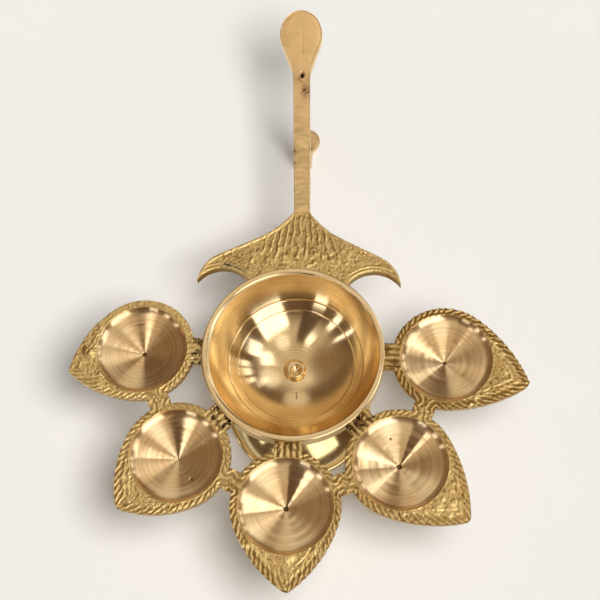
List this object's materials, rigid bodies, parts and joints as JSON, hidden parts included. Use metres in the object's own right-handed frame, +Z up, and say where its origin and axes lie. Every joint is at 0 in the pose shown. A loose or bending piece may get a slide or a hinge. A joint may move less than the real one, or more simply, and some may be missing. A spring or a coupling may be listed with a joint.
{
  "type": "aarti lamp",
  "caption": "Brass aarti lamp: turned oil bowl on a pedestal, a fan of pointed leaf cups at the front, winged bracket and flat handle with thumb rest and leg behind.",
  "frame": {"origin": "on the bowl's axis, in the plane that the lamp stands on", "axes": "+Z up along the bowl's axis, +Y towards the handle, +X to the right with the handle pointing away"},
  "size_m": [0.167, 0.2233, 0.0913],
  "materials": {
    "turned_brass": "turned and polished",
    "cast_brass": "cast, granular, chased border",
    "filed_brass": "filed flat",
    "fastener_brass": "turned",
    "braze": "as brazed, dark residue"
  },
  "bodies": {
    "root": {"bowl": "turned_brass", "leaf_far_left": "cast_brass", "leaf_near_left": "cast_brass", "leaf_front": "cast_brass", "leaf_near_right": "cast_brass", "leaf_far_right": "cast_brass", "wing_plate": "cast_brass", "handle_bar": "filed_brass", "handle_leg": "filed_brass", "pedestal_foot": "turned_brass", "stem": "turned_brass", "centre_bolt": "fastener_brass", "bolt_washer": "fastener_brass", "bolt_nut": "fastener_brass", "leaf_braze": "braze", "wing_braze": "braze"}
  },
  "joints": []
}
